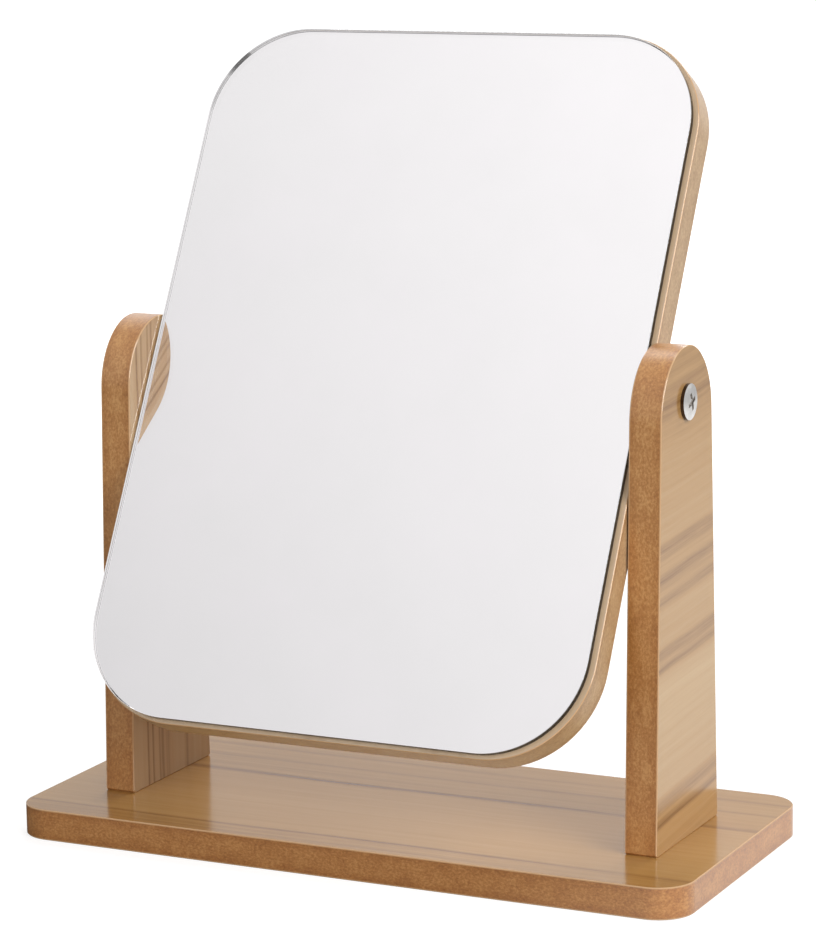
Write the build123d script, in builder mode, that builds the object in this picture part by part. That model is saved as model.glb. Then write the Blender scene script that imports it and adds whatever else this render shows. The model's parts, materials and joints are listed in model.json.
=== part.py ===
"""Vanity mirror: a tilting mirror panel between two tapered posts on a base board.

Millimetres. +Z is up, the front is -Y, and the origin is the middle of the base's underside.
The panel is modelled at its rest tilt, leaning back about the pivot axis, which runs along X.
"""

import os

from build123d import *

# Boards: a fibreboard core with a printed facing sheet on both faces
board_thickness = 9.0
facing_thickness = 0.4
facing_arris = 0.2

# Mirror panel: its size sets the stand that carries it
panel_width = 153.4
panel_height = 210.6
panel_corner_radius = 29.0
rest_tilt = 28.6

# Mirror glass, stuck on a little towards the panel's upper left, and the tape that holds it
glass_margin = 0.9
glass_shift_left = 0.75
glass_shift_up = 0.35
glass_thickness = 1.9
glass_arris = 0.12
tape_thickness = 0.2
tape_width = 18.0
tape_inset = 20.0

# Stand: room under the upright panel, posts and base
swing_clearance = 16.7
pivot_to_post_top = 15.4
post_thickness = 9.4
post_foot_depth = 45.5
post_shoulder_depth = 36.8
post_crown_height = 19.0
post_crown_share = 0.55
post_foot_arris = 0.6
base_overhang = 16.7
base_depth = 95.2
base_corner_radius = 10.5

# Pivot screws, their washers and the threaded inserts in the panel's side edges
pivot_screw_diameter = 4.0
pivot_screw_shortfall = 1.85
pivot_screw_tip = 0.6
pivot_head_diameter = 10.0
pivot_head_height = 1.5
pivot_head_rim = 0.95
pivot_recess_length = 5.0
pivot_recess_width = 1.2
pivot_recess_depth = 0.6
pivot_running_clearance = 0.05
pivot_play = 0.05
washer_thickness = 0.35
washer_diameter = 8.4
insert_diameter = 6.0
insert_length = 12.0
insert_chamfer = 0.5
insert_drill_allowance = 1.5

# Wood screws that hold the posts on the base
wood_screw_diameter = 3.5
wood_screw_length = 30.0
wood_screw_point = 4.0
wood_head_diameter = 7.0
wood_head_rim = 0.25
wood_head_cone = 1.75
wood_head_sink = 0.3
wood_recess_length = 4.6
wood_recess_width = 1.1
wood_recess_depth = 1.5
wood_screw_end_distance = 8.5

# Draft and turn of the cross recess in every screw head
recess_taper = 9.0
recess_turn = 20.0

# Slack round glued inserts and driven screws, and the overrun of open cuts
seat_clearance = 0.05
cut_overrun = 1.0

# Sizes that follow from the ones above
core_thickness = board_thickness - 2 * facing_thickness
pivot_height = board_thickness + swing_clearance + panel_height / 2
post_inner_x = panel_width / 2 + washer_thickness + pivot_play
post_outer_x = post_inner_x + post_thickness
post_middle_x = (post_inner_x + post_outer_x) / 2
post_core_thickness = post_thickness - 2 * facing_thickness
post_top_z = pivot_height + pivot_to_post_top
post_shoulder_z = post_top_z - post_crown_height
wood_screw_pitch = post_foot_depth - 2 * wood_screw_end_distance
post_taper = (post_foot_depth - post_shoulder_depth) / 2 / (post_shoulder_z - board_thickness)
base_width = 2 * (post_outer_x + base_overhang)
glass_width = panel_width - 2 * glass_margin
glass_height = panel_height - 2 * glass_margin
glass_corner_radius = panel_corner_radius - glass_margin
glass_centre = (-glass_shift_left, glass_shift_up)
tape_length = glass_height - 2 * tape_inset
tape_pitch = glass_width / 2 - tape_inset - tape_width / 2
pivot_bore_radius = pivot_screw_diameter / 2 + pivot_running_clearance
pivot_head_x = post_outer_x + pivot_play
pivot_screw_end_x = panel_width / 2 - insert_length + pivot_screw_shortfall
pivot_screw_length = pivot_head_x - pivot_screw_end_x

sides = (("left", -1), ("right", 1))
ends = (("front", -1), ("rear", 1))
screw_places = [(x * post_middle_x, y * wood_screw_pitch / 2) for _, x in sides for _, y in ends]

# Middle plane of the panel: its normal points out of the glass and its own Y axis runs up the panel
panel_normal = Vector(0, -1, 0).rotate(Axis.X, -rest_tilt)
panel_plane = Plane((0, 0, pivot_height), x_dir=(1, 0, 0), z_dir=panel_normal)

os.makedirs("parts", exist_ok=True)


def save(piece, name):
    """Name a finished piece and write it out."""
    piece.label = name
    export_step(piece, f"parts/{name}.step")


def side_plane(side, distance):
    """Plane across the pivot axis, that far from the middle, with its normal pointing outwards."""
    return Plane((side * distance, 0, pivot_height), x_dir=(0, 1, 0), z_dir=(side, 0, 0))


def wood_screw_turning(start_z, slack):
    """Turned form of a wood screw on the Z axis, head down from start_z, grown by the slack round it."""
    head_radius = wood_head_diameter / 2 + slack
    shank_radius = wood_screw_diameter / 2 + slack
    cone_z = wood_head_sink + wood_head_rim
    point_z = wood_head_sink + wood_screw_length
    with BuildPart() as turning:
        with BuildSketch(Plane.XZ):
            with BuildLine():
                Polyline(
                    (0, start_z),
                    (head_radius, start_z),
                    (head_radius, cone_z),
                    (shank_radius, cone_z + wood_head_cone),
                    (shank_radius, point_z - wood_screw_point),
                    (0, point_z + slack),
                    close=True,
                )
            make_face()
        revolve(axis=Axis.Z)
    return turning.part


def cross_recess(head_top, length, width, depth):
    """Cut of a cross recess, going into a screw from the plane of its head's top."""
    with BuildPart() as recess:
        with BuildSketch(head_top):
            Rectangle(length, width, rotation=recess_turn)
            Rectangle(width, length, rotation=recess_turn)
        extrude(amount=-depth, taper=recess_taper)
    return recess.part


wood_screw_hole = wood_screw_turning(-cut_overrun, seat_clearance)
wood_screw_blank = wood_screw_turning(wood_head_sink, 0)


def base_layer(bottom_z, thickness):
    """One sheet of the base, with the holes of the wood screws."""
    with BuildPart() as layer:
        with BuildSketch(Plane.XY.offset(bottom_z)):
            RectangleRounded(base_width, base_depth, base_corner_radius)
        extrude(amount=thickness)
        with Locations(*screw_places):
            add(wood_screw_hole, mode=Mode.SUBTRACT)
    return layer.part


def base_facing(bottom_z, outward):
    """Facing sheet of the base, its outer edge eased on the side that shows."""
    sheet = base_layer(bottom_z, facing_thickness)
    with BuildPart() as facing:
        add(sheet)
        face = facing.faces().sort_by(Axis((0, 0, 0), (0, 0, outward)))[-1]
        chamfer(face.outer_wire().edges(), length=facing_arris)
    return facing.part


# Base: core between its two facing sheets
save(base_layer(facing_thickness, core_thickness), "base_board")
save(base_facing(board_thickness - facing_thickness, 1), "base_top_facing")
save(base_facing(0, -1), "base_underside_facing")


def post_layer(side, from_x, thickness):
    """One sheet of a post, eased at its foot and bored for the pivot, going outwards from from_x."""
    shoulder_y = post_shoulder_depth / 2
    crown_rise = post_crown_share * post_crown_height
    with BuildPart() as layer:
        with BuildSketch(Plane.YZ.offset(side * from_x)):
            with BuildLine():
                Polyline(
                    (-shoulder_y, post_shoulder_z),
                    (-post_foot_depth / 2, board_thickness),
                    (post_foot_depth / 2, board_thickness),
                    (shoulder_y, post_shoulder_z),
                )
                crown = Bezier(
                    (shoulder_y, post_shoulder_z),
                    (shoulder_y - post_taper * crown_rise, post_shoulder_z + crown_rise),
                    (post_crown_share * shoulder_y, post_top_z),
                    (0, post_top_z),
                )
                mirror(crown, about=Plane.YZ)
            make_face()
            chamfer(vertices().group_by(Axis.Y)[0], length=post_foot_arris)
            with Locations((0, pivot_height)):
                Circle(pivot_bore_radius, mode=Mode.SUBTRACT)
        extrude(amount=side * thickness)
    return layer.part


def post_facing(side, from_x, outward):
    """Facing sheet of a post, its edge eased all round on the side that shows."""
    sheet = post_layer(side, from_x, facing_thickness)
    with BuildPart() as facing:
        add(sheet)
        face = facing.faces().sort_by(Axis((0, 0, 0), (outward, 0, 0)))[-1]
        chamfer(face.outer_wire().edges(), length=facing_arris)
    return facing.part


# Posts: a core with the wood screws' holes, and an inner and an outer facing sheet
for side_name, side in sides:
    core = post_layer(side, post_inner_x + facing_thickness, post_core_thickness)
    with BuildPart() as post_board:
        add(core)
        with Locations(*screw_places):
            add(wood_screw_hole, mode=Mode.SUBTRACT)
    save(post_board.part, f"{side_name}_post_board")
    save(post_facing(side, post_inner_x, -side), f"{side_name}_post_inner_facing")
    save(post_facing(side, post_outer_x - facing_thickness, side), f"{side_name}_post_outer_facing")

# Wood screws: driven up through the base into the foot of each post
for side_name, side in sides:
    for end_name, end in ends:
        head_place = (side * post_middle_x, end * wood_screw_pitch / 2, wood_head_sink)
        head_top = Plane(head_place, z_dir=(0, 0, -1))
        wood_recess = cross_recess(head_top, wood_recess_length, wood_recess_width, wood_recess_depth)
        with BuildPart() as wood_screw:
            with Locations((side * post_middle_x, end * wood_screw_pitch / 2)):
                add(wood_screw_blank)
            add(wood_recess, mode=Mode.SUBTRACT)
        save(wood_screw.part, f"base_screw_{side_name}_{end_name}")


def panel_sheet(from_middle, thickness, centre, width, height, corner_radius):
    """Sheet with rounded corners, lying along the panel, going forwards from that far off its middle."""
    with BuildPart() as sheet:
        with BuildSketch(panel_plane.offset(from_middle)):
            with Locations(centre):
                RectangleRounded(width, height, corner_radius)
        extrude(amount=thickness)
    return sheet.part


def eased_panel_sheet(from_middle, thickness, outline, outward, arris):
    """Panel sheet of that outline, with its outer edge eased on the side that shows."""
    blank = panel_sheet(from_middle, thickness, *outline)
    with BuildPart() as sheet:
        add(blank)
        face = sheet.faces().sort_by(Axis((0, 0, 0), panel_normal * outward))[-1]
        chamfer(face.outer_wire().edges(), length=arris)
    return sheet.part


# Mirror panel: a core drilled for the inserts, and its two facing sheets
panel_outline = ((0, 0), panel_width, panel_height, panel_corner_radius)
panel_core = panel_sheet(-core_thickness / 2, core_thickness, *panel_outline)
with BuildPart() as panel_board:
    add(panel_core)
    for _, side in sides:
        with BuildSketch(side_plane(side, panel_width / 2)):
            Circle(insert_diameter / 2 + seat_clearance)
        extrude(amount=-(insert_length + insert_drill_allowance), mode=Mode.SUBTRACT)
save(panel_board.part, "mirror_panel_board")
front_facing = eased_panel_sheet(core_thickness / 2, facing_thickness, panel_outline, 1, facing_arris)
save(front_facing, "panel_front_facing")
back_facing = eased_panel_sheet(-board_thickness / 2, facing_thickness, panel_outline, -1, facing_arris)
save(back_facing, "panel_back_facing")

# Tape strips on the front facing, and the silvered glass that they hold
panel_front = board_thickness / 2
for tape_name, step in (("left", -1), ("middle", 0), ("right", 1)):
    with BuildPart() as tape:
        with BuildSketch(panel_plane.offset(panel_front)):
            with Locations(glass_centre):
                with Locations((step * tape_pitch, 0)):
                    Rectangle(tape_width, tape_length)
        extrude(amount=tape_thickness)
    save(tape.part, f"mirror_tape_{tape_name}")
glass_outline = (glass_centre, glass_width, glass_height, glass_corner_radius)
glass = eased_panel_sheet(panel_front + tape_thickness, glass_thickness, glass_outline, 1, glass_arris)
save(glass, "mirror_glass")

# Pivots: an insert in the panel's edge, a washer against it, and the screw through the post
for side_name, side in sides:
    panel_edge = side_plane(side, panel_width / 2)
    with BuildPart() as insert:
        with BuildSketch(panel_edge):
            Circle(insert_diameter / 2)
            Circle(pivot_screw_diameter / 2 + seat_clearance, mode=Mode.SUBTRACT)
        extrude(amount=-insert_length)
        rims = insert.edges().filter_by(GeomType.CIRCLE).sort_by(SortBy.RADIUS)[-2:]
        chamfer(rims, length=insert_chamfer)
    save(insert.part, f"threaded_insert_{side_name}")

    with BuildPart() as washer:
        with BuildSketch(panel_edge):
            Circle(washer_diameter / 2)
            Circle(pivot_bore_radius, mode=Mode.SUBTRACT)
        extrude(amount=washer_thickness)
    save(washer.part, f"pivot_washer_{side_name}")

    head_seat = side_plane(side, pivot_head_x)
    head_radius = pivot_head_diameter / 2
    shank_radius = pivot_screw_diameter / 2
    head_top = head_seat.offset(pivot_head_height)
    pivot_recess = cross_recess(head_top, pivot_recess_length, pivot_recess_width, pivot_recess_depth)
    with BuildPart() as pivot_screw:
        with BuildSketch(Plane(head_seat.origin, x_dir=(0, 1, 0), z_dir=(0, 0, -side))):
            with BuildLine():
                Polyline(
                    (0, pivot_head_height),
                    (0, -pivot_screw_length),
                    (shank_radius - pivot_screw_tip, -pivot_screw_length),
                    (shank_radius, pivot_screw_tip - pivot_screw_length),
                    (shank_radius, 0),
                    (head_radius, 0),
                    (head_radius, pivot_head_rim),
                )
                TangentArc((0, pivot_head_height), (head_radius, pivot_head_rim), tangent=(1, 0))
            make_face()
        revolve(axis=Axis(head_seat.origin, head_seat.z_dir))
        add(pivot_recess, mode=Mode.SUBTRACT)
    save(pivot_screw.part, f"pivot_screw_{side_name}")
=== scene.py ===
# A free-standing vanity mirror: a rounded glass mirror on a laminated board, which tilts between two
# tapered posts on a flat base. Every length is in metres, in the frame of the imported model.
import json
import math

import bpy
from mathutils import Matrix, Vector


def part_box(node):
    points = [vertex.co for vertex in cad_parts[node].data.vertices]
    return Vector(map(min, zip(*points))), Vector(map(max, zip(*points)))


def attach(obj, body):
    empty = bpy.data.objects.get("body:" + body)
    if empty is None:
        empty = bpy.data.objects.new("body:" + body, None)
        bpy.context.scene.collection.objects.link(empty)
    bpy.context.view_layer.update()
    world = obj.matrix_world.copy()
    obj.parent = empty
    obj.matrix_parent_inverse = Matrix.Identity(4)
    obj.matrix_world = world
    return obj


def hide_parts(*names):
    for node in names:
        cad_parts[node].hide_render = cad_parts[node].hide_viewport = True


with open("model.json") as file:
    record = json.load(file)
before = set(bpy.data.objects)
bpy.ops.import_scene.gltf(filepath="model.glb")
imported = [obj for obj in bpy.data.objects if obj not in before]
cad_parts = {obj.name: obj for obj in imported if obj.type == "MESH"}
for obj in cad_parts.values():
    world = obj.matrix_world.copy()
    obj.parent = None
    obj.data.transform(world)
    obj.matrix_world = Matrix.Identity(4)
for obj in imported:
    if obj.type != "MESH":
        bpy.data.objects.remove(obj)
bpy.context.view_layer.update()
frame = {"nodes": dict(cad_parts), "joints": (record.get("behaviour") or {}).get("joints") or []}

mm = 0.001

# Fibreboard cores of the base, the posts and the panel. Medium-density fibreboard is cut on a router, and its
# edges are sanded and sealed with clear lacquer. They are the only part of a core that shows: pressed wood
# fibre, dense and dark under each face and a little looser and lighter in the middle.


def linear(colour):
    """An sRGB hex colour as the linear RGBA value that a shader takes."""
    shares = [int(colour[place:place + 2], 16) / 255 for place in (1, 3, 5)]
    return [s / 12.92 if s <= 0.04045 else ((s + 0.055) / 1.055) ** 2.4 for s in shares] + [1]


def node(tree, kind, inputs=(), stops=(), **settings):
    """Add a shader node with its settings. Each of its inputs takes a value, or a link from a socket."""
    added = tree.nodes.new(kind)
    for name, value in settings.items():
        setattr(added, name, value)
    for place, value in enumerate(stops):
        elements = added.color_ramp.elements
        element = elements[place] if place < len(elements) else elements.new(value[0])
        element.position, element.color = value
    for socket, value in dict(inputs).items():
        if isinstance(value, bpy.types.NodeSocket):
            tree.links.new(value, added.inputs[socket])
        else:
            added.inputs[socket].default_value = value
    return added


def new_material(name):
    """A node material, its tree and its surface shader."""
    material = bpy.data.materials.new(name)
    material.use_nodes = True
    return material, material.node_tree, material.node_tree.nodes["Principled BSDF"]


def dress(name, material):
    """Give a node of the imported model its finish."""
    for slot in frame["nodes"][name].material_slots:
        slot.material = material


def middle(name):
    """The middle of a node's box at rest."""
    low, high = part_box(name)
    return (low + high) / 2


def grey(tone):
    """A grey of that tone as an RGBA value, for a ramp that carries a number."""
    return [tone, tone, tone, 1]


board_thickness = 9.0 * mm


def sealed_fibreboard(name, across, centre, browns):
    """Sealed edge of fibreboard: a warm brown with a soft speckle of fibre under a low, smooth shine."""
    fibre_size, fibre_flatness = 0.9 * mm, 1.5
    clump_size = 6.0 * mm
    fuzz_depth = 0.03 * mm
    material, tree, shader = new_material(name)
    place = node(tree, "ShaderNodeTexCoord").outputs["Object"]
    height = node(tree, "ShaderNodeVectorMath", {0: place, 1: across},
                  operation="DOT_PRODUCT").outputs["Value"]

    # The press lays the fibres flat, so their pattern is finer across the board than along it.
    squeeze = node(tree, "ShaderNodeMath", {0: height, 1: fibre_flatness - 1},
                   operation="MULTIPLY").outputs[0]
    pressed = node(tree, "ShaderNodeVectorMath", {0: across, "Scale": squeeze},
                   operation="SCALE").outputs["Vector"]
    flat = node(tree, "ShaderNodeVectorMath", {0: place, 1: pressed}, operation="ADD").outputs["Vector"]
    fibres = node(tree, "ShaderNodeTexNoise", {
        "Vector": flat, "Scale": 1 / fibre_size, "Detail": 5, "Roughness": 0.7}).outputs["Fac"]
    clumps = node(tree, "ShaderNodeTexNoise", {
        "Vector": flat, "Scale": 1 / clump_size, "Detail": 3, "Roughness": 0.5}).outputs["Fac"]

    # It also packs them tighter under the faces than in the core.
    off_core = node(tree, "ShaderNodeMath", {0: height, 1: centre.dot(across)},
                    operation="SUBTRACT").outputs[0]
    depth = node(tree, "ShaderNodeMath", {0: off_core}, operation="ABSOLUTE").outputs[0]
    density = node(tree, "ShaderNodeMapRange", {
        "Value": depth, "From Min": 0.15 * board_thickness, "From Max": 0.5 * board_thickness,
        "To Min": 0.03, "To Max": -0.04}, interpolation_type="SMOOTHSTEP").outputs["Result"]

    mottle = node(tree, "ShaderNodeMath", {0: clumps, 1: 0.25, 2: density},
                  operation="MULTIPLY_ADD").outputs[0]
    tone = node(tree, "ShaderNodeMath", {0: fibres, 1: 0.75, 2: mottle},
                operation="MULTIPLY_ADD").outputs[0]
    brown = node(tree, "ShaderNodeValToRGB", {"Fac": tone}, stops=[
        (stop, linear(colour)) for stop, colour in zip((0.36, 0.50, 0.64), browns)]).outputs["Color"]
    rough = node(tree, "ShaderNodeMapRange", {
        "Value": fibres, "To Min": 0.30, "To Max": 0.50}).outputs["Result"]
    fuzz = node(tree, "ShaderNodeBump", {
        "Height": fibres, "Strength": 0.4, "Distance": fuzz_depth}).outputs["Normal"]
    tree.links.new(brown, shader.inputs["Base Color"])
    tree.links.new(rough, shader.inputs["Roughness"])
    tree.links.new(fuzz, shader.inputs["Normal"])
    shader.inputs["IOR"].default_value = 1.6
    shader.inputs["Coat Weight"].default_value = 0.8
    shader.inputs["Coat Roughness"].default_value = 0.35
    return material


along_x, along_y, along_z = Vector((1, 0, 0)), Vector((0, 1, 0)), Vector((0, 0, 1))
base_browns = ("#985D27", "#B17437", "#C98F50")
dress("base_board", sealed_fibreboard("fibreboard_base_edge", along_z, middle("base_board"), base_browns))
post_browns = ("#A2672C", "#B97E40", "#D09A5C")
for side in ("left", "right"):
    board = f"{side}_post_board"
    dress(board, sealed_fibreboard(f"fibreboard_{side}_post_edge", along_x, middle(board), post_browns))

# The panel's core is a paler board. It leans back with the mirror, so its faces lie across the line that the
# mirror looks along.
rest_tilt = math.radians(28.6)
pivot = Vector(frame["joints"][0]["pos_m"])
panel_out = Vector((0, -math.cos(rest_tilt), math.sin(rest_tilt)))
panel_up = Vector((0, math.sin(rest_tilt), math.cos(rest_tilt)))
pale_browns = ("#9C784E", "#B49066", "#C8AA80")
dress("mirror_panel_board", sealed_fibreboard("fibreboard_panel_edge", panel_out, pivot, pale_browns))

# Facing sheets on both faces of the base. A wood-print paper under clear melamine is pressed onto the board
# before it is cut, with the grain along the base. Its cut edge is painted as a thin pale line, a painted
# highlight.


def wood_print(name, face, grain, across, start, span, tones, woods):
    """Glossy melamine over a wood-print paper: a clear skin over brown bands and fine dark pores."""
    drift_length = 90 * mm
    drift = 1.2 * mm
    streak_length, streak_width = 110 * mm, 2.2 * mm
    pore_length, pore_width = 13 * mm, 0.42 * mm
    emboss_depth = 0.02 * mm
    material, tree, shader = new_material(name)
    coordinates = node(tree, "ShaderNodeTexCoord").outputs
    along = node(tree, "ShaderNodeVectorMath", {0: coordinates["Object"], 1: grain},
                 operation="DOT_PRODUCT").outputs["Value"]
    side = node(tree, "ShaderNodeVectorMath", {0: coordinates["Object"], 1: across},
                operation="DOT_PRODUCT").outputs["Value"]

    # The bands of the print wander a little on their way along the board.
    flat = node(tree, "ShaderNodeCombineXYZ", {"X": along, "Y": side, "Z": start}).outputs["Vector"]
    wave = node(tree, "ShaderNodeTexNoise", {
        "Vector": flat, "Scale": 1 / drift_length, "Detail": 2}).outputs["Fac"]
    shift = node(tree, "ShaderNodeMapRange", {
        "Value": wave, "From Min": 0.25, "From Max": 0.75,
        "To Min": -drift, "To Max": drift}).outputs["Result"]
    wandered = node(tree, "ShaderNodeMath", {0: side, 1: shift}, operation="ADD").outputs[0]
    share = node(tree, "ShaderNodeMapRange", {
        "Value": wandered, "From Min": start, "From Max": start + span}).outputs["Result"]
    band = node(tree, "ShaderNodeValToRGB", {"Fac": share},
                stops=[(at, grey(tone)) for at, tone in tones]).outputs["Color"]

    streak_place = node(tree, "ShaderNodeCombineXYZ", {
        "X": node(tree, "ShaderNodeMath", {0: along, 1: streak_length}, operation="DIVIDE").outputs[0],
        "Y": node(tree, "ShaderNodeMath", {0: wandered, 1: streak_width}, operation="DIVIDE").outputs[0],
        "Z": start}).outputs["Vector"]
    streaks = node(tree, "ShaderNodeTexNoise", {
        "Vector": streak_place, "Scale": 1, "Detail": 4, "Roughness": 0.6}).outputs["Fac"]
    pore_place = node(tree, "ShaderNodeCombineXYZ", {
        "X": node(tree, "ShaderNodeMath", {0: along, 1: pore_length}, operation="DIVIDE").outputs[0],
        "Y": node(tree, "ShaderNodeMath", {0: wandered, 1: pore_width}, operation="DIVIDE").outputs[0],
        "Z": start}).outputs["Vector"]
    pores = node(tree, "ShaderNodeTexNoise", {
        "Vector": pore_place, "Scale": 1, "Detail": 2, "Roughness": 0.5}).outputs["Fac"]

    # Streaks and pores gather in the dark bands and leave the pale ones nearly plain.
    strength = node(tree, "ShaderNodeMapRange", {
        "Value": band, "From Min": 0.2, "From Max": 0.45, "To Min": 0.7, "To Max": 0.18}).outputs["Result"]
    fine = node(tree, "ShaderNodeMath", {0: pores, 1: 0.3, 2: streaks}, operation="MULTIPLY_ADD").outputs[0]
    swing = node(tree, "ShaderNodeMath", {0: fine, 1: 0.65}, operation="SUBTRACT").outputs[0]
    tone = node(tree, "ShaderNodeMath", {0: swing, 1: strength, 2: band},
                operation="MULTIPLY_ADD").outputs[0]
    dark, middling, light = woods
    print_colour = node(tree, "ShaderNodeValToRGB", {"Fac": tone}, stops=[
        (0.07, linear(dark)), (0.41, linear(middling)), (0.67, linear(light))]).outputs["Color"]

    # The sheet's edge is painted pale round each face: a painted highlight of the arris catching the light.
    facing_out = node(tree, "ShaderNodeVectorMath", {0: coordinates["Normal"], 1: face},
                      operation="DOT_PRODUCT").outputs["Value"]
    squareness = node(tree, "ShaderNodeMath", {0: facing_out}, operation="ABSOLUTE").outputs[0]
    printed = node(tree, "ShaderNodeMapRange", {
        "Value": squareness, "From Min": 0.85, "From Max": 0.97}).outputs["Result"]
    colour = node(tree, "ShaderNodeMix", {0: printed, 6: linear("#CDA377"), 7: print_colour},
                  data_type="RGBA").outputs[2]
    rough = node(tree, "ShaderNodeMapRange", {
        "Value": pores, "To Min": 0.10, "To Max": 0.22}).outputs["Result"]
    emboss = node(tree, "ShaderNodeBump", {
        "Height": pores, "Strength": 0.15, "Distance": emboss_depth}).outputs["Normal"]
    tree.links.new(colour, shader.inputs["Base Color"])
    tree.links.new(rough, shader.inputs["Roughness"])
    tree.links.new(emboss, shader.inputs["Normal"])
    shader.inputs["IOR"].default_value = 1.6
    return material


base_low, base_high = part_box("base_top_facing")
walnut = ("#74481B", "#AD8145", "#C89F66")
base_tones = [
    (0.00, 0.33), (0.082, 0.35), (0.094, 0.16), (0.108, 0.44), (0.36, 0.48), (0.60, 0.44), (0.622, 0.16),
    (0.645, 0.38), (0.76, 0.42), (0.776, 0.30), (0.80, 0.40), (0.875, 0.40), (0.89, 0.30), (0.91, 0.40)]
base_print = wood_print("melamine_base_print", along_z, along_x, along_y, base_low.y,
                        base_high.y - base_low.y, base_tones, walnut)
dress("base_top_facing", base_print)
dress("base_underside_facing", base_print)

# Facing sheets of the posts: the same print. The left post is cut with its grain upright and the right post
# with its grain from front to back, rising a little to the back.
post_low, post_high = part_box("left_post_inner_facing")
pale_walnut = ("#7C5329", "#B88F5B", "#CDAE82")
grey_walnut = ("#755130", "#B8946B", "#D2B793")
upright_tones = [
    (0.00, 0.46), (0.13, 0.50), (0.19, 0.44), (0.205, 0.22), (0.222, 0.42), (0.25, 0.46), (0.265, 0.18),
    (0.285, 0.44), (0.33, 0.46), (0.348, 0.24), (0.365, 0.42), (0.395, 0.20), (0.415, 0.44), (0.47, 0.28),
    (0.50, 0.44), (0.56, 0.46), (0.66, 0.48), (0.70, 0.28), (0.73, 0.42), (0.80, 0.46), (1.00, 0.40)]
left_print = wood_print("melamine_left_post_print", along_x, along_z, along_y, post_low.y,
                        post_high.y - post_low.y, upright_tones, grey_walnut)
grain_rise = math.radians(4)
rising_grain = Vector((0, math.cos(grain_rise), math.sin(grain_rise)))
across_rising = Vector((0, -math.sin(grain_rise), math.cos(grain_rise)))
level_tones = [
    (0.00, 0.40), (0.055, 0.42), (0.067, 0.22), (0.085, 0.38), (0.105, 0.26), (0.13, 0.50), (0.34, 0.56),
    (0.372, 0.44), (0.382, 0.20), (0.394, 0.36), (0.412, 0.24), (0.43, 0.44), (0.50, 0.45), (0.516, 0.26),
    (0.535, 0.40), (0.558, 0.22), (0.58, 0.41), (0.60, 0.38), (0.617, 0.18), (0.635, 0.44), (0.80, 0.43),
    (0.86, 0.38), (0.90, 0.24), (0.94, 0.35)]
right_print = wood_print("melamine_right_post_print", along_x, rising_grain, across_rising, post_low.z,
                         post_high.z - post_low.z, level_tones, pale_walnut)
for layer in ("inner", "outer"):
    dress(f"left_post_{layer}_facing", left_print)
    dress(f"right_post_{layer}_facing", right_print)

# Facing sheets of the panel. The back carries the print with its grain upright. The front is mostly under
# the glass and shows only as a narrow margin, in a paler grey-beige paper.
panel_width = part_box("panel_back_facing")[1].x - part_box("panel_back_facing")[0].x
back_tones = [
    (0.00, 0.42), (0.13, 0.46), (0.15, 0.22), (0.20, 0.40), (0.33, 0.48), (0.46, 0.36), (0.48, 0.20),
    (0.52, 0.44), (0.70, 0.50), (0.73, 0.28), (0.80, 0.42), (1.00, 0.38)]
back_print = wood_print("melamine_panel_back_print", panel_out, panel_up, along_x, -panel_width / 2,
                        panel_width, back_tones, walnut)
dress("panel_back_facing", back_print)
ash = ("#BA9D7D", "#CBAF8E", "#D8C0A2")
front_print = wood_print("melamine_panel_front_print", panel_out, panel_up, along_x, -panel_width / 2,
                         panel_width, back_tones, ash)
dress("panel_front_facing", front_print)

# Countersunk wood screws, driven up through the base into the posts. Pressed steel with a zinc coat, which
# is a soft blue-grey shine with cloudy patches.


def plated_metal(name, clear, cloudy, shine, dull, cloud_size, scratch_width):
    """Plated steel: a metal with cloudy patches and fine turning scratches across its shine."""
    scratch_depth = 0.01 * mm
    material, tree, shader = new_material(name)
    place = node(tree, "ShaderNodeTexCoord").outputs["Object"]
    clouds = node(tree, "ShaderNodeTexNoise", {
        "Vector": place, "Scale": 1 / cloud_size, "Detail": 4, "Roughness": 0.6}).outputs["Fac"]
    colour = node(tree, "ShaderNodeValToRGB", {"Fac": clouds}, stops=[
        (0.32, linear(cloudy)), (0.62, linear(clear))]).outputs["Color"]
    scratches = node(tree, "ShaderNodeTexNoise", {
        "Vector": place, "Scale": 1 / scratch_width, "Detail": 3}).outputs["Fac"]
    rough = node(tree, "ShaderNodeMapRange", {
        "Value": clouds, "From Min": 0.3, "From Max": 0.7, "To Min": dull, "To Max": shine}).outputs["Result"]
    marks = node(tree, "ShaderNodeBump", {
        "Height": scratches, "Strength": 0.12, "Distance": scratch_depth}).outputs["Normal"]
    tree.links.new(colour, shader.inputs["Base Color"])
    tree.links.new(rough, shader.inputs["Roughness"])
    tree.links.new(marks, shader.inputs["Normal"])
    shader.inputs["Metallic"].default_value = 1
    return material


zinc = plated_metal("zinc_plated_steel", "#C3C6C8", "#9BA0A3", 0.28, 0.46, 2.2 * mm, 0.3 * mm)
for side in ("left", "right"):
    for end in ("front", "rear"):
        dress(f"base_screw_{side}_{end}", zinc)

# Double-sided foam tape between the panel and the glass. White closed-cell foam, matt and finely pitted.
material, tree, shader = new_material("white_foam_tape")
cell_size = 0.5 * mm
place = node(tree, "ShaderNodeTexCoord").outputs["Object"]
cells = node(tree, "ShaderNodeTexVoronoi", {"Vector": place, "Scale": 1 / cell_size}).outputs["Distance"]
foam = node(tree, "ShaderNodeValToRGB", {"Fac": cells}, stops=[
    (0.05, linear("#CFCECA")), (0.5, linear("#E6E5E1"))]).outputs["Color"]
pits = node(tree, "ShaderNodeBump", {
    "Height": cells, "Strength": 0.4, "Distance": 0.05 * mm}).outputs["Normal"]
tree.links.new(foam, shader.inputs["Base Color"])
tree.links.new(pits, shader.inputs["Normal"])
shader.inputs["Roughness"].default_value = 0.9
for strip in ("left", "middle", "right"):
    dress(f"mirror_tape_{strip}", material)

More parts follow.
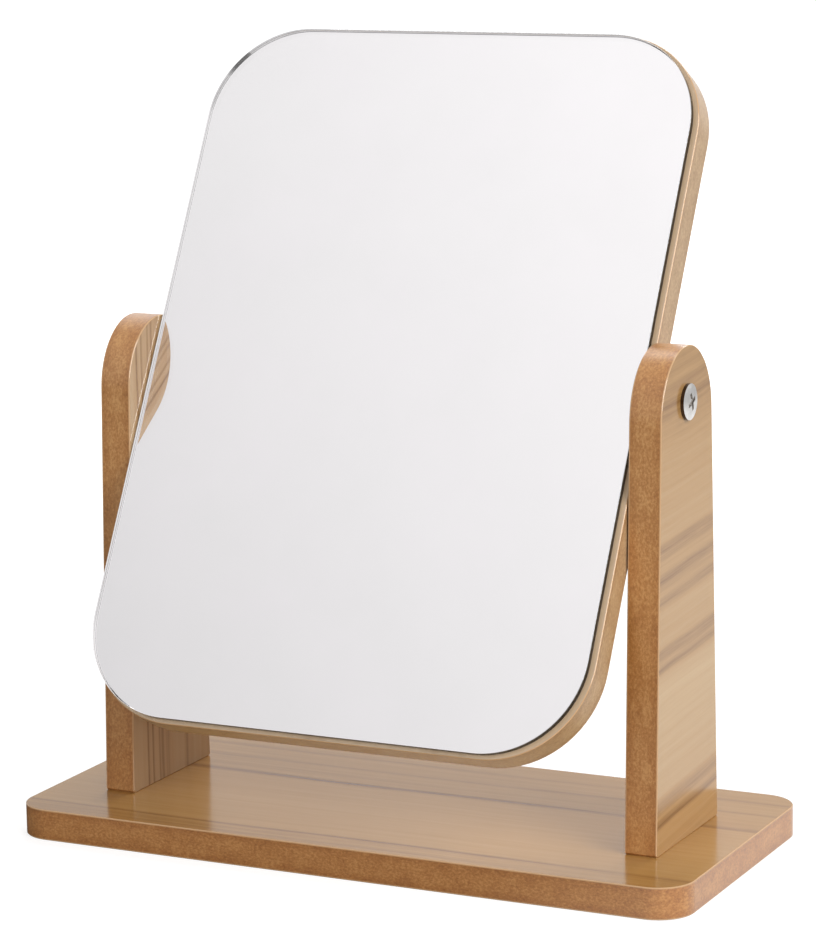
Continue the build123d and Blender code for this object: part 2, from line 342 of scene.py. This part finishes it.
# Mirror glass: 2 mm float glass with rounded corners, its edges ground to an arris and polished. The pane is
# clear, so its edges show as they do on a real mirror: bright or grey where they are seen through the front,
# and nearly black from outside, where the light stays trapped in the sheet.
glass_width, glass_height, glass_corner = 151.6 * mm, 208.8 * mm, 28.1 * mm
glass_back, glass_thickness, glass_arris = 4.7 * mm, 1.9 * mm, 0.12 * mm
glass_middle = pivot - 0.75 * mm * along_x + 0.35 * mm * panel_up


def panel_sheet(name, rings):
    """Closed sheet in the plane of the glass, from rings of its outline: each inset, and how far forward."""
    corner_steps = 24
    points, faces = [], []
    for inset, forward in rings:
        radius = glass_corner - inset
        for corner, (x, y) in enumerate(((1, 1), (-1, 1), (-1, -1), (1, -1))):
            middle_x, middle_y = x * (glass_width / 2 - glass_corner), y * (glass_height / 2 - glass_corner)
            for step in range(corner_steps + 1):
                angle = math.pi / 2 * (corner + step / corner_steps)
                points.append(glass_middle + (middle_x + radius * math.cos(angle)) * along_x
                              + (middle_y + radius * math.sin(angle)) * panel_up + forward * panel_out)
    count = len(points) // len(rings)
    faces.append(range(count - 1, -1, -1))
    faces.append(range(len(points) - count, len(points)))
    for ring in range(len(rings) - 1):
        for place in range(count):
            low, low_next = ring * count + place, ring * count + (place + 1) % count
            faces.append((low, low_next, low_next + count, low + count))
    mesh = bpy.data.meshes.new(name)
    mesh.from_pydata(points, [], faces)
    mesh.shade_smooth()
    mesh.set_sharp_from_angle(angle=math.radians(30))
    piece = bpy.data.objects.new(name, mesh)
    bpy.context.scene.collection.objects.link(piece)
    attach(piece, "mirror")
    return piece


glass_front = glass_back + glass_thickness
pane = panel_sheet("mirror_glass_pane", [
    (0, glass_back), (0, glass_front - glass_arris), (glass_arris, glass_front)])
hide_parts("mirror_glass")
clear_glass, tree, shader = new_material("clear_float_glass")
coordinates = node(tree, "ShaderNodeTexCoord").outputs
outward = node(tree, "ShaderNodeVectorMath", {0: coordinates["Normal"], 1: panel_out},
               operation="DOT_PRODUCT").outputs["Value"]
front = node(tree, "ShaderNodeMapRange", {
    "Value": outward, "From Min": 0.93, "From Max": 0.98}).outputs["Result"]
grind_size = 0.6 * mm
grind = node(tree, "ShaderNodeTexNoise", {
    "Vector": coordinates["Object"], "Scale": 1 / grind_size, "Detail": 4}).outputs["Fac"]
film_size = 40 * mm
film = node(tree, "ShaderNodeTexNoise", {
    "Vector": coordinates["Object"], "Scale": 1 / film_size, "Detail": 5, "Roughness": 0.6}).outputs["Fac"]
tint = node(tree, "ShaderNodeValToRGB", {"Fac": film}, stops=[
    (0.3, linear("#FDFDFD")), (0.7, linear("#FFFEFF"))]).outputs["Color"]
polish = node(tree, "ShaderNodeMapRange", {"Value": film, "To Min": 0, "To Max": 0.01}).outputs["Result"]
ground = node(tree, "ShaderNodeMapRange", {
    "Value": grind, "To Min": 0.01, "To Max": 0.05}).outputs["Result"]
rough = node(tree, "ShaderNodeMix", {0: front, 2: ground, 3: polish}, data_type="FLOAT").outputs[0]
tree.links.new(tint, shader.inputs["Base Color"])
tree.links.new(rough, shader.inputs["Roughness"])
shader.inputs["Transmission Weight"].default_value = 1
shader.inputs["IOR"].default_value = 1.52
pane.data.materials.append(clear_glass)

# Silver on the back of the glass, with a coat of grey paint over it. Both are chemically deposited or curtain
# coated, far thinner than they are drawn here. The silver is a clean mirror with a trace of haze.
coat_inset, coat_back, coat_thickness = 0.05 * mm, glass_back + 0.03 * mm, 0.04 * mm
coat = panel_sheet("mirror_silver_coat", [(coat_inset, coat_back), (coat_inset, coat_back + coat_thickness)])
silver, tree, shader = new_material("silver_and_backing_paint")
coordinates = node(tree, "ShaderNodeTexCoord").outputs
outward = node(tree, "ShaderNodeVectorMath", {0: coordinates["Normal"], 1: panel_out},
               operation="DOT_PRODUCT").outputs["Value"]
front = node(tree, "ShaderNodeMapRange", {
    "Value": outward, "From Min": 0.93, "From Max": 0.98}).outputs["Result"]
haze_size = 30 * mm
haze = node(tree, "ShaderNodeTexNoise", {
    "Vector": coordinates["Object"], "Scale": 1 / haze_size, "Detail": 5, "Roughness": 0.6}).outputs["Fac"]
bright_metal = node(tree, "ShaderNodeValToRGB", {"Fac": haze}, stops=[
    (0.3, linear("#FCFAFB")), (0.7, linear("#FEFCFD"))]).outputs["Color"]
paint = node(tree, "ShaderNodeValToRGB", {"Fac": haze}, stops=[
    (0.3, linear("#6F7274")), (0.7, linear("#7C7F81"))]).outputs["Color"]
colour = node(tree, "ShaderNodeMix", {0: front, 6: paint, 7: bright_metal}, data_type="RGBA").outputs[2]
haziness = node(tree, "ShaderNodeMapRange", {
    "Value": haze, "To Min": 0.004, "To Max": 0.016}).outputs["Result"]
rough = node(tree, "ShaderNodeMix", {0: front, 2: 0.6, 3: haziness}, data_type="FLOAT").outputs[0]
tree.links.new(colour, shader.inputs["Base Color"])
tree.links.new(front, shader.inputs["Metallic"])
tree.links.new(rough, shader.inputs["Roughness"])
coat.data.materials.append(silver)

# Threaded inserts in the panel's side edges. Turned brass, a warm yellow metal with fine tool marks.
brass = plated_metal("turned_brass", "#D2B26A", "#A98745", 0.24, 0.42, 2.5 * mm, 0.35 * mm)

# Washers between the panel and the posts. Punched from black nylon sheet: a dark, waxy grey.
nylon, tree, shader = new_material("black_nylon")
cloud_size = 1.5 * mm
place = node(tree, "ShaderNodeTexCoord").outputs["Object"]
clouds = node(tree, "ShaderNodeTexNoise", {
    "Vector": place, "Scale": 1 / cloud_size, "Detail": 3}).outputs["Fac"]
black = node(tree, "ShaderNodeValToRGB", {"Fac": clouds}, stops=[
    (0.3, linear("#211F1D")), (0.7, linear("#2E2B28"))]).outputs["Color"]
waxy = node(tree, "ShaderNodeMapRange", {"Value": clouds, "To Min": 0.38, "To Max": 0.55}).outputs["Result"]
tree.links.new(black, shader.inputs["Base Color"])
tree.links.new(waxy, shader.inputs["Roughness"])
shader.inputs["IOR"].default_value = 1.53

# Pivot screws: cross-recess machine screws with a wide low head, through the posts into the inserts. Bright
# nickel plate, which mirrors the studio softly. Its side walls carry painted shade: dark brown round the
# head's rim, mid-grey in the cross recess.
nickel = plated_metal("nickel_plated_steel", "#EFEDEB", "#D8D5D1", 0.12, 0.26, 3.0 * mm, 0.3 * mm)
tree, shader = nickel.node_tree, nickel.node_tree.nodes["Principled BSDF"]
plate = shader.inputs["Base Color"].links[0].from_socket
coordinates = node(tree, "ShaderNodeTexCoord").outputs
outward = node(tree, "ShaderNodeVectorMath", {0: coordinates["Normal"], 1: along_x},
               operation="DOT_PRODUCT").outputs["Value"]
squareness = node(tree, "ShaderNodeMath", {0: outward}, operation="ABSOLUTE").outputs[0]
side_wall = node(tree, "ShaderNodeMapRange", {
    "Value": squareness, "From Min": 0.3, "From Max": 0.6, "To Min": 1, "To Max": 0}).outputs["Result"]
off_pivot = node(tree, "ShaderNodeVectorMath", {0: coordinates["Object"], 1: pivot},
                 operation="SUBTRACT").outputs["Vector"]
off_axis = node(tree, "ShaderNodeVectorMath", {0: off_pivot, 1: (0, 1, 1)},
                operation="MULTIPLY").outputs["Vector"]
radius = node(tree, "ShaderNodeVectorMath", {0: off_axis}, operation="LENGTH").outputs["Value"]
rim = node(tree, "ShaderNodeMapRange", {
    "Value": radius, "From Min": 4.0 * mm, "From Max": 4.6 * mm}).outputs["Result"]
# Painted shade: side walls are dark brown on the head's rim and mid-grey inside the recess.
painted_side_shade = node(tree, "ShaderNodeMix", {0: rim, 6: linear("#B4AFAA"), 7: linear("#54483E")},
            data_type="RGBA").outputs[2]
colour = node(tree, "ShaderNodeMix", {0: side_wall, 6: plate, 7: painted_side_shade}, data_type="RGBA").outputs[2]
tree.links.new(colour, shader.inputs["Base Color"])
for side in ("left", "right"):
    dress(f"threaded_insert_{side}", brass)
    dress(f"pivot_washer_{side}", nylon)
    dress(f"pivot_screw_{side}", nickel)

# The studio: a white table top that runs out of sight, and white walls with a dim end behind the camera. The
# camera sees them white. The glossy faces see the table bright to the right and behind, and dim in front, so
# that the fronts stay deep brown. Their light on the object is a plain soft fill.
floor_reach, floor_drop = 4.0, 0.05 * mm
corners = [(x * floor_reach, y * floor_reach, -floor_drop) for x, y in ((-1, -1), (1, -1), (1, 1), (-1, 1))]
floor_mesh = bpy.data.meshes.new("floor")
floor_mesh.from_pydata(corners, [], [(0, 1, 2, 3)])
floor = bpy.data.objects.new("floor", floor_mesh)
bpy.context.scene.collection.objects.link(floor)
white_top, tree, shader = new_material("white_table_top")
tree.nodes.remove(shader)
rays = node(tree, "ShaderNodeLightPath").outputs
seen = node(tree, "ShaderNodeMath", {0: rays["Is Camera Ray"], 1: rays["Is Transmission Ray"]},
            operation="MAXIMUM").outputs[0]
place = node(tree, "ShaderNodeTexCoord").outputs["Object"]
away = node(tree, "ShaderNodeVectorMath", {0: place}, operation="LENGTH").outputs["Value"]
seen_glow = node(tree, "ShaderNodeMapRange", {
    "Value": away, "From Min": 0.25, "From Max": 0.9, "To Min": 0.74, "To Max": 1.0},
    interpolation_type="SMOOTHSTEP").outputs["Result"]
far_glow = node(tree, "ShaderNodeMapRange", {
    "Value": away, "From Min": 0.4, "From Max": 1.0, "To Min": 1.0, "To Max": 0.55}).outputs["Result"]
table = node(tree, "ShaderNodeSeparateXYZ", {"Vector": place}).outputs
right_share = node(tree, "ShaderNodeMapRange", {
    "Value": table["X"], "From Min": 0.03, "From Max": 0.11, "To Min": 0.05},
    interpolation_type="SMOOTHSTEP").outputs["Result"]
back_share = node(tree, "ShaderNodeMapRange", {
    "Value": table["Y"], "From Min": 0.2, "From Max": 0.4}, interpolation_type="SMOOTHSTEP").outputs["Result"]
lit_share = node(tree, "ShaderNodeMath", {0: right_share, 1: back_share}, operation="MAXIMUM").outputs[0]
sheen_glow = node(tree, "ShaderNodeMath", {0: far_glow, 1: lit_share}, operation="MULTIPLY").outputs[0]
plain = node(tree, "ShaderNodeBsdfDiffuse", {"Color": linear("#BEBEBE")}).outputs["BSDF"]
shaded = node(tree, "ShaderNodeBsdfDiffuse", {"Color": linear("#ADADAD")}).outputs["BSDF"]
glow = node(tree, "ShaderNodeMix", {0: rays["Is Camera Ray"], 2: 0.4, 3: seen_glow},
            data_type="FLOAT").outputs[0]
lit = node(tree, "ShaderNodeEmission", {"Color": linear("#FFFFFF"), "Strength": glow}).outputs["Emission"]
shown = node(tree, "ShaderNodeAddShader", {0: shaded, 1: lit}).outputs["Shader"]
sheen = node(tree, "ShaderNodeEmission", {
    "Color": linear("#FFFFFF"), "Strength": sheen_glow}).outputs["Emission"]
unseen = node(tree, "ShaderNodeMixShader", {0: rays["Is Glossy Ray"], 1: plain, 2: sheen}).outputs["Shader"]
surface = node(tree, "ShaderNodeMixShader", {0: seen, 1: unseen, 2: shown}).outputs["Shader"]
tree.links.new(surface, tree.nodes["Material Output"].inputs["Surface"])
white_top.cycles.emission_sampling = "NONE"
floor_mesh.materials.append(white_top)

world = bpy.data.worlds.new("studio")
world.use_nodes = True
bpy.context.scene.world = world
tree = world.node_tree
tree.nodes.remove(tree.nodes["Background"])
rays = node(tree, "ShaderNodeLightPath").outputs
bright = node(tree, "ShaderNodeMath", {0: rays["Is Camera Ray"], 1: rays["Is Glossy Ray"]},
              operation="MAXIMUM").outputs[0]
seen = node(tree, "ShaderNodeMath", {0: bright, 1: rays["Is Transmission Ray"]},
            operation="MAXIMUM").outputs[0]
tent_top = Vector((0, -0.47, 0.88))
direction = node(tree, "ShaderNodeTexCoord").outputs["Generated"]
towards_top = node(tree, "ShaderNodeVectorMath", {0: direction, 1: tent_top},
                   operation="DOT_PRODUCT").outputs["Value"]
tent = node(tree, "ShaderNodeMapRange", {
    "Value": towards_top, "From Min": 0.7116, "From Max": 0.9182,
    "To Min": 0.505, "To Max": 1.0}).outputs["Result"]
back = node(tree, "ShaderNodeSeparateXYZ", {"Vector": direction}).outputs["Y"]
back_wall = node(tree, "ShaderNodeMapRange", {
    "Value": back, "From Min": -0.2, "From Max": 0.6, "To Min": 0.6, "To Max": 0.78},
    interpolation_type="SMOOTHSTEP").outputs["Result"]
white_walls = node(tree, "ShaderNodeMath", {0: tent, 1: back_wall}, operation="MAXIMUM").outputs[0]
dark_end = Vector((0.36, -0.92, 0.13))
towards_end = node(tree, "ShaderNodeVectorMath", {0: direction, 1: dark_end},
                   operation="DOT_PRODUCT").outputs["Value"]
end_wall = node(tree, "ShaderNodeMapRange", {
    "Value": towards_end, "From Min": 0.965, "From Max": 0.985, "To Min": 1, "To Max": 0.2}).outputs["Result"]
walls = node(tree, "ShaderNodeMath", {0: white_walls, 1: end_wall}, operation="MULTIPLY").outputs[0]
backdrop = node(tree, "ShaderNodeMath", {0: walls, 1: rays["Is Camera Ray"]},
                operation="MAXIMUM").outputs[0]
front_fill = node(tree, "ShaderNodeMapRange", {
    "Value": back, "From Min": -0.9, "From Max": 0.1, "To Min": 0.93, "To Max": 0.08}).outputs["Result"]
fill = node(tree, "ShaderNodeBackground", {
    "Color": linear("#FFFFFF"), "Strength": front_fill}).outputs["Background"]
white = node(tree, "ShaderNodeBackground", {
    "Color": linear("#FFFFFF"), "Strength": backdrop}).outputs["Background"]
studio = node(tree, "ShaderNodeMixShader", {0: seen, 1: fill, 2: white}).outputs["Shader"]
tree.links.new(studio, tree.nodes["World Output"].inputs["Surface"])

# The lights: two soft boxes, one from the right, which also comes back off the mirror onto the left post, and
# one above from behind, which lights the base under the mirror.


def soft_box(name, width, depth, energy, place, target):
    """A flat lamp of that size and power at a place, turned to its target."""
    lamp = bpy.data.lights.new(name, "AREA")
    lamp.shape = "RECTANGLE"
    lamp.size, lamp.size_y, lamp.energy = width, depth, energy
    box = bpy.data.objects.new(name, lamp)
    box.location = place
    box.rotation_euler = (place - target).to_track_quat("Z", "Y").to_euler()
    box.visible_camera = False
    bpy.context.scene.collection.objects.link(box)


soft_box("right_soft_box", 1.0, 1.0, 16.5, pivot + 1.5 * Vector((0.86, -0.27, 0.43)), pivot)
soft_box("back_soft_box", 1.4, 1.4, 19.5, pivot + 1.5 * Vector((-0.04, 0.70, 0.71)), pivot)

# The camera: a long lens, from the right and a little above, as the photograph was taken.
photo_height = 952
focal_length = 3569.88
azimuth, elevation, roll = math.radians(26.176), math.radians(11.018), math.radians(-0.937)
distance = 1.00597
aim = Vector((0.002124, 0, 0.104545))
camera_data = bpy.data.cameras.new("camera")
camera_data.lens = focal_length * camera_data.sensor_width / photo_height
camera_data.clip_start, camera_data.clip_end = 0.01, 50
camera = bpy.data.objects.new("camera", camera_data)
turn = Matrix.Rotation(azimuth, 4, "Z") @ Matrix.Rotation(math.pi / 2 - elevation, 4, "X")
turn = turn @ Matrix.Rotation(roll, 4, "Z")
camera.matrix_world = Matrix.Translation(aim) @ turn @ Matrix.Translation((0, 0, distance))
bpy.context.scene.collection.objects.link(camera)
bpy.context.scene.camera = camera
bpy.context.scene.view_settings.view_transform = "Standard"
